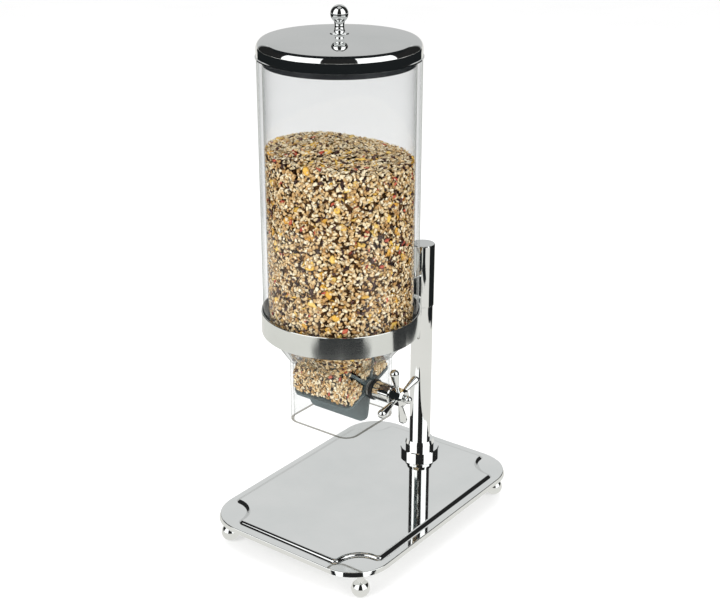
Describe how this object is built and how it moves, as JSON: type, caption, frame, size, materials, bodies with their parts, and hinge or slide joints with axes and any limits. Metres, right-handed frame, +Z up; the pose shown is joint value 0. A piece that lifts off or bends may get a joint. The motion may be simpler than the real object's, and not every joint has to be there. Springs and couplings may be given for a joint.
{
  "type": "cereal dispenser",
  "caption": "Tabletop cereal dispenser: clear storage tube in a ring on a column, square chute with a turning vane wheel and spoked knob, lift-off lid, polished tray on ball feet.",
  "frame": {"origin": "on the surface it stands on, under the middle of the tray", "axes": "+Z up, +X to the knob side, -Y to the side where the bowl stands, +Y to the column"},
  "size_m": [0.216, 0.304, 0.5766],
  "materials": {
    "polished_steel": "mirror polish",
    "brushed_ring": "fine horizontal brush",
    "plain_steel": "plain",
    "clear_plastic": "clear, thick walled",
    "black_rubber": "smooth",
    "soft_wheel": "soft, grey-green, slightly satin",
    "white_plastic": "matt"
  },
  "bodies": {
    "stand": {"base_tray": "polished_steel", "foot_front_left": "polished_steel", "foot_front_right": "polished_steel", "foot_back_left": "polished_steel", "foot_back_right": "polished_steel", "foot_bosses": "polished_steel", "column_flange": "polished_steel", "column_collar": "polished_steel", "column_tube": "polished_steel", "column_rod": "plain_steel", "column_washer": "plain_steel", "column_nut": "plain_steel", "holder_sleeve": "polished_steel", "sleeve_cap": "polished_steel", "sleeve_screw": "plain_steel", "ring_collar": "brushed_ring", "ring_liner": "black_rubber", "ring_arm": "polished_steel", "storage_tube": "clear_plastic", "funnel": "clear_plastic", "chute": "clear_plastic", "bush_left": "white_plastic", "bush_right": "white_plastic", "wall_seal": "black_rubber"},
    "metering_wheel": {"vane_wheel": "soft_wheel", "wheel_core": "white_plastic", "drive_shaft": "plain_steel", "shaft_end_cap": "polished_steel", "knob_barrel": "polished_steel", "knob_hub": "polished_steel", "knob_spoke_up": "polished_steel", "knob_spoke_front": "polished_steel", "knob_spoke_down": "polished_steel", "knob_spoke_back": "polished_steel", "knob_tip": "polished_steel"},
    "lid": {"lid_dome": "polished_steel", "lid_plug": "black_rubber", "lid_finial": "polished_steel", "lid_screw": "plain_steel", "lid_washer": "plain_steel"}
  },
  "joints": [
    {"name": "wheel_turn", "type": "hinge", "parent": "stand", "child": "metering_wheel", "pos_m": [0, -0.0439, 0.1875], "axis": [1, 0, 0], "continuous": true},
    {"name": "lid_lift", "type": "slide", "parent": "stand", "child": "lid", "axis": [0, 0, 1], "range_m": [0, 0.08]}
  ]
}
